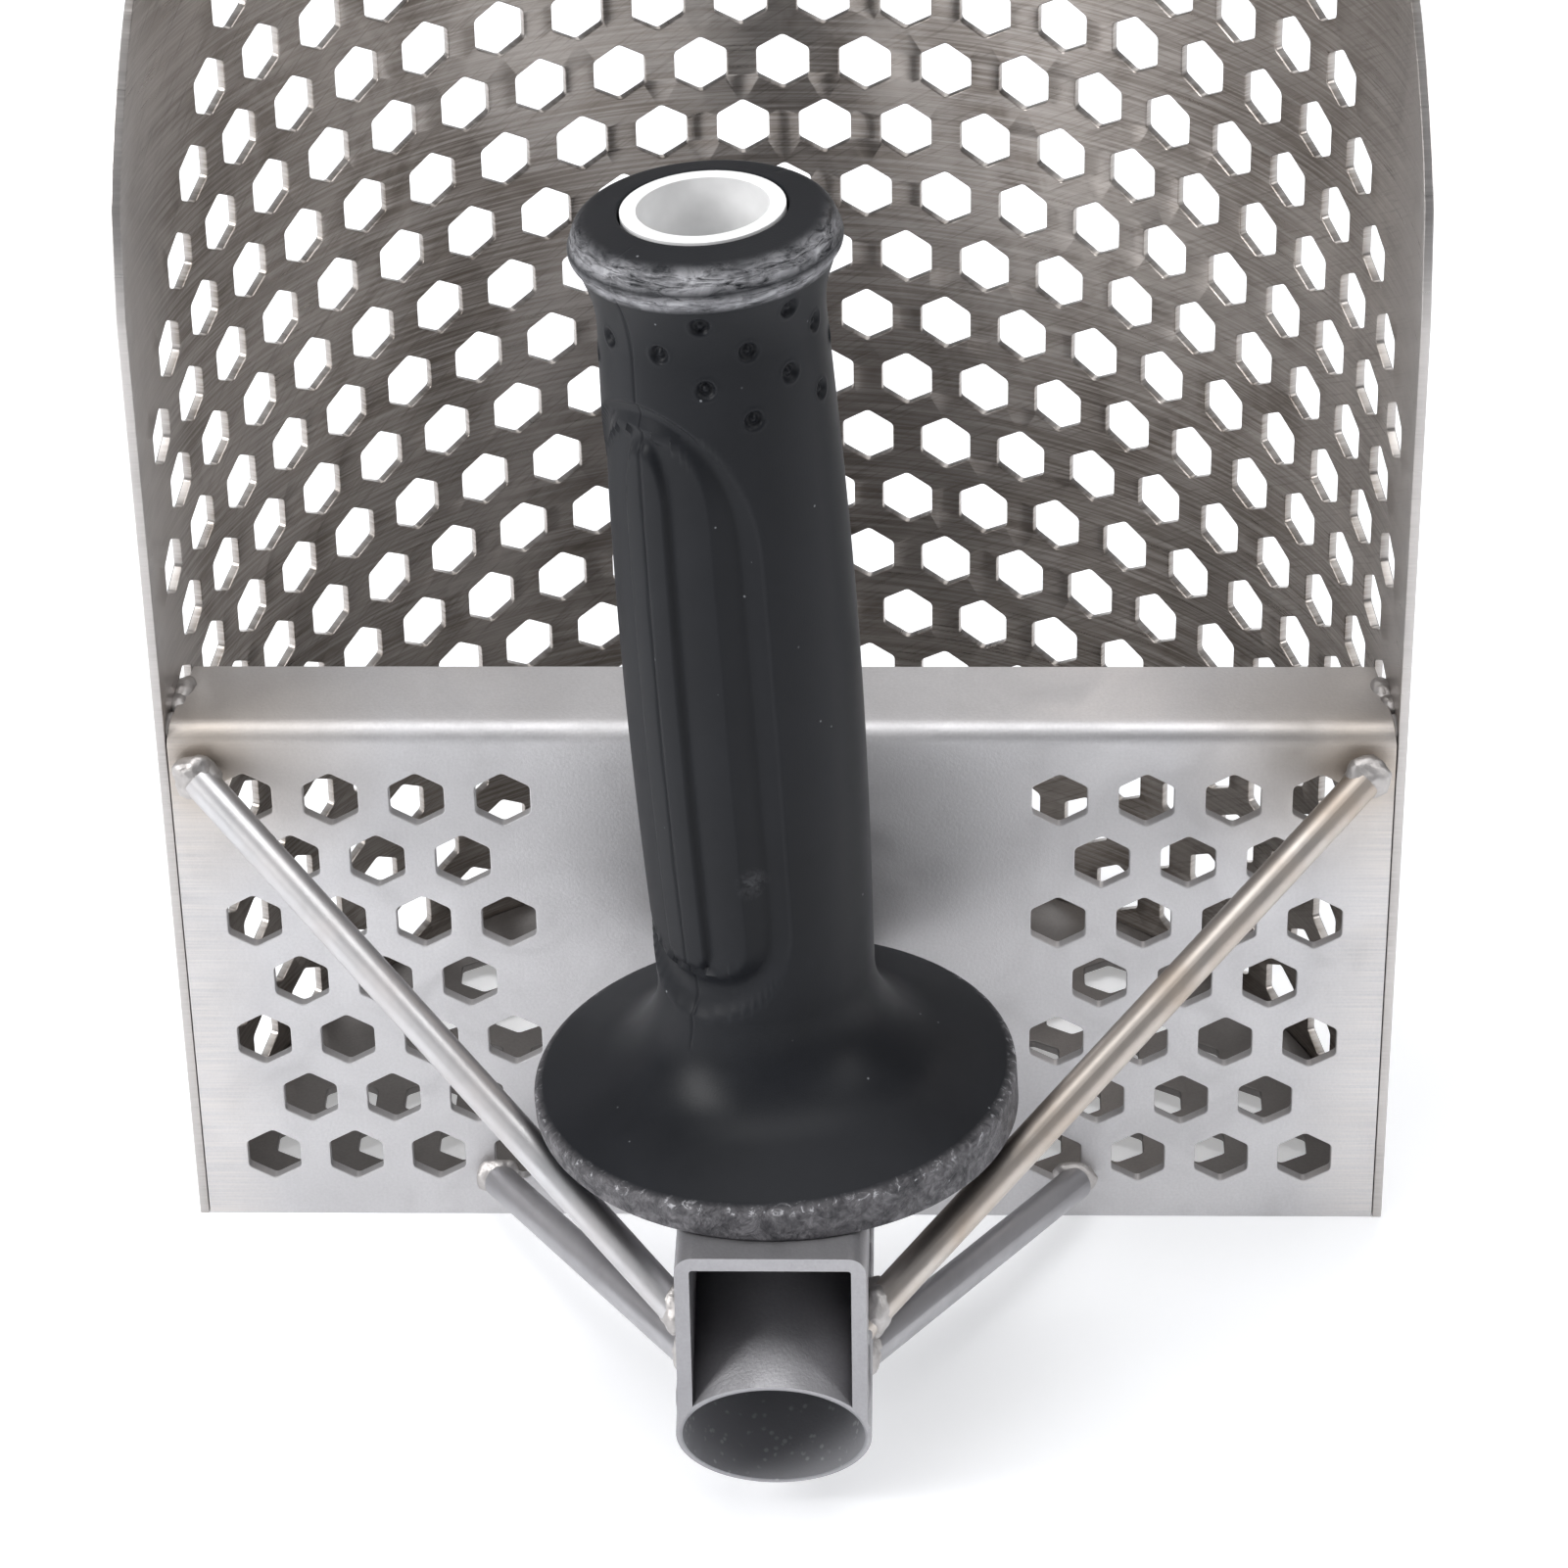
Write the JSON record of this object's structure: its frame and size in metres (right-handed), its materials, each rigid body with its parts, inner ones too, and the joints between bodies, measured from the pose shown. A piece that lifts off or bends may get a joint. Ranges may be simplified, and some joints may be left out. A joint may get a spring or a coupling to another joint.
{
  "type": "beach sand scoop",
  "caption": "Hand-held sand scoop: half-round perforated steel basket, flat perforated plate, braced shaft socket and a rubber hand grip with a guard.",
  "frame": {"origin": "middle of the rear edge of the flat plate, where it stands on the floor", "axes": "+Z from the rear plate to the basket's mouth, +Y from the flat plate into the basket, +X across to the right seen from the plate's side"},
  "size_m": [0.158, 0.1461, 0.25],
  "materials": {
    "basket_steel": "brushed, dull inside",
    "plate_steel": "bead blasted satin",
    "tube_steel": "bead blasted satin",
    "rod_steel": "polished rod",
    "weld_metal": "weld bead, blasted",
    "black_rubber": "soft matte rubber",
    "white_plastic": "satin",
    "bolt_steel": "bright stainless"
  },
  "bodies": {
    "root": {"basket_sheet": "basket_steel", "flat_plate": "plate_steel", "rear_plate": "plate_steel", "socket_tube": "tube_steel", "saddle": "tube_steel", "upper_strut_left": "rod_steel", "upper_strut_right": "rod_steel", "lower_strut_left": "rod_steel", "lower_strut_right": "rod_steel", "upper_strut_welds": "weld_metal", "lower_strut_welds": "weld_metal", "flange_corner_welds": "weld_metal", "rear_seam_weld": "weld_metal", "saddle_seam_welds": "weld_metal", "plate_side_welds": "weld_metal", "socket_plate_weld": "weld_metal", "rubber_grip": "black_rubber", "grip_core": "white_plastic", "grip_stud": "bolt_steel", "grip_washer": "bolt_steel", "grip_nut": "bolt_steel"}
  },
  "joints": []
}
